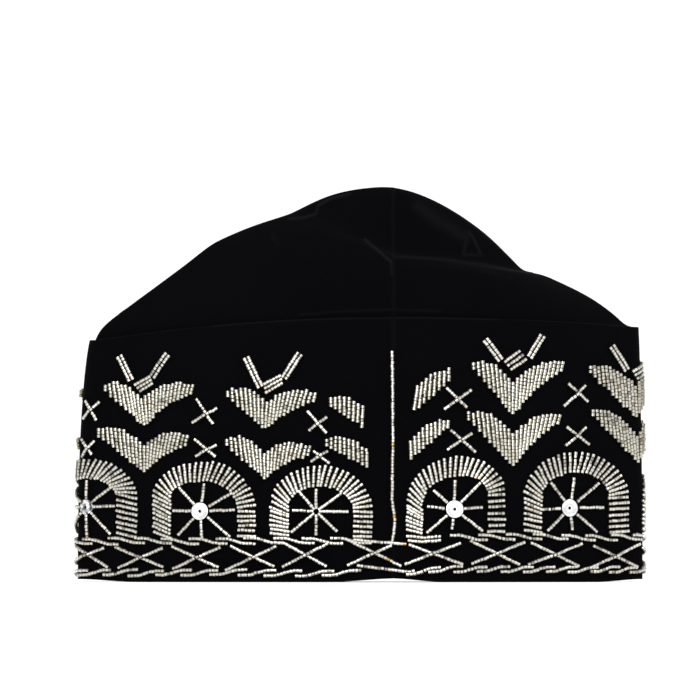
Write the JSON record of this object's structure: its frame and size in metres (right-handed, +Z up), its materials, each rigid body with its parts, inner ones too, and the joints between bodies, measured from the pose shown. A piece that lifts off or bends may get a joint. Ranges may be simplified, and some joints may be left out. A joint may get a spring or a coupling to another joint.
{
  "type": "embroidered velvet skullcap",
  "caption": "Tall soft skullcap with a folded band, a domed crown sewn inside it, a seam down the middle and flat round sequins round the band.",
  "frame": {"origin": "on the floor, under the middle of the cap's bounding box", "axes": "+X to the right as the front is seen, from side fold to side fold; +Y from the front to the back; +Z up to the apex"},
  "size_m": [0.2754, 0.082, 0.1932],
  "materials": {
    "velvet": "black cotton velvet with a short pile",
    "sequin": "silver foil, worn",
    "seed_beads": "silver-lined glass seed beads"
  },
  "bodies": {
    "root": {"band_left": "velvet", "band_right": "velvet", "crown_left": "velvet", "crown_right": "velvet", "sequin_left_2": "sequin", "sequin_left_3": "sequin", "sequin_left_4": "sequin", "sequin_left_5": "sequin", "sequin_right_1": "sequin", "sequin_right_2": "sequin", "sequin_right_3": "sequin", "sequin_right_4": "sequin"}
  },
  "joints": []
}
